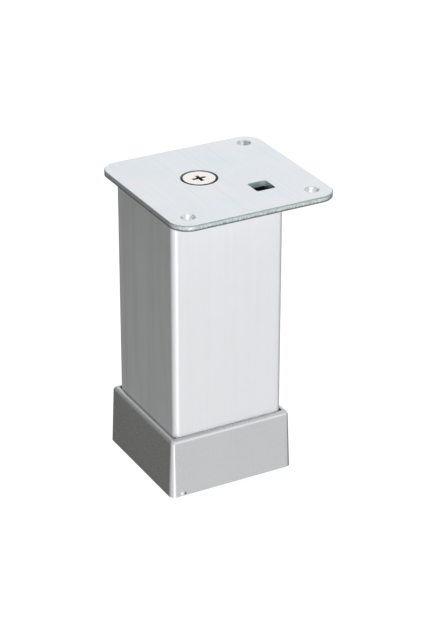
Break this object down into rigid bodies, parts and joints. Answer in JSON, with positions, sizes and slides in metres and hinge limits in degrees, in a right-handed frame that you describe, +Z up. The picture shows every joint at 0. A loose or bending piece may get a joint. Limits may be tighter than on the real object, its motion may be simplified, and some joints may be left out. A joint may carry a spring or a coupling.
{
  "type": "furniture leg",
  "caption": "Short square aluminium furniture leg with an offset steel mounting plate and a telescoping height-adjusting foot.",
  "frame": {"origin": "where the tube's axis meets the floor, on the sole of the foot", "axes": "+Z up along the tube, +X to the side where the plate overhangs widely, -Y to the front, the other wide overhang"},
  "size_m": [0.0576, 0.0565, 0.1011],
  "materials": {
    "zinc_plate": "bright zinc plate",
    "nickel_screw": "nickel plate",
    "aluminium_tube": "satin anodised",
    "insert_plastic": "moulded nylon",
    "zinc_fastener": "bright zinc plate",
    "spring_steel": "oiled spring steel",
    "foot_plastic": "moulded silver grey"
  },
  "bodies": {
    "leg": {"mounting_plate": "zinc_plate", "plate_screw": "nickel_screw", "leg_tube": "aluminium_tube", "top_insert": "insert_plastic", "top_nut": "zinc_fastener", "bottom_insert": "insert_plastic", "spindle_nut": "zinc_fastener"},
    "foot": {"foot_sleeve": "foot_plastic", "spindle_washer": "zinc_fastener"},
    "spindle": {"adjusting_spindle": "zinc_fastener", "retaining_ring": "spring_steel"}
  },
  "joints": [
    {"name": "foot_slide", "type": "slide", "parent": "leg", "child": "foot", "axis": [0, 0, -1], "range_m": [0, 0.01]},
    {"name": "spindle_turn", "type": "hinge", "parent": "foot", "child": "spindle", "pos_m": [0, 0, 0.008], "axis": [0, 0, -1], "range_deg": [0, 2880]}
  ],
  "couplings": [
    {"joint": "spindle_turn", "follows": "foot_slide", "rad_per_m": 5026.5}
  ]
}
